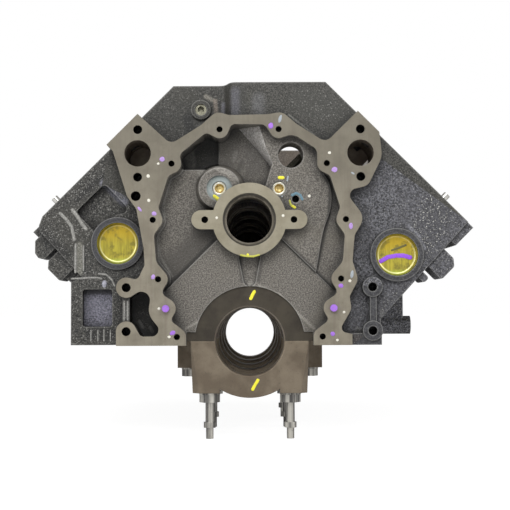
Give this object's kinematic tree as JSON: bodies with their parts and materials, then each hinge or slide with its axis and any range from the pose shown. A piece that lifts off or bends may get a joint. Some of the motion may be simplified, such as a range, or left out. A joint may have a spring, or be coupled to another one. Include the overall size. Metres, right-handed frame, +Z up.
{
  "type": "engine cylinder block",
  "caption": "Cast-iron V-type engine block with open timing chest, main bearing caps, core plugs and dowels.",
  "frame": {"origin": "on the crank axis, in the plane of the machined front face", "axes": "+X to the right seen from the front, +Y to the rear along the crank axis, +Z up"},
  "size_m": [0.488, 0.5875, 0.3891],
  "materials": {
    "block_iron": "sand-cast, dark, with machined faces",
    "cap_iron": "cast and ground",
    "bolt_steel": "dark oiled steel",
    "plug_yellow": "yellow passivated plating",
    "plug_steel": "plain steel",
    "dowel_steel": "ground steel",
    "bearing_metal": "bright bearing metal"
  },
  "bodies": {
    "root": {"block_casting": "block_iron", "front_main_cap": "cap_iron", "main_cap_2": "cap_iron", "main_cap_3": "cap_iron", "main_cap_4": "cap_iron", "rear_main_cap": "cap_iron", "cap_stud_bolts": "bolt_steel", "inner_cap_bolts": "bolt_steel", "outer_cap_bolts": "bolt_steel", "front_core_plug_right": "plug_yellow", "front_core_plug_left": "plug_yellow", "side_core_plugs_right": "plug_yellow", "side_core_plugs_left": "plug_yellow", "rear_core_plugs": "plug_yellow", "front_gallery_plugs": "plug_steel", "rear_gallery_plugs": "plug_steel", "valley_wall_plug": "plug_steel", "coolant_drain_plugs": "plug_steel", "cover_dowels": "dowel_steel", "head_dowels_right": "dowel_steel", "head_dowels_left": "dowel_steel", "bellhousing_dowels": "dowel_steel", "cam_bearing_1": "bearing_metal", "cam_bearing_2": "bearing_metal", "cam_bearing_3": "bearing_metal", "cam_bearing_4": "bearing_metal", "cam_bearing_5": "bearing_metal", "rear_cam_plug": "plug_yellow"}
  },
  "joints": []
}
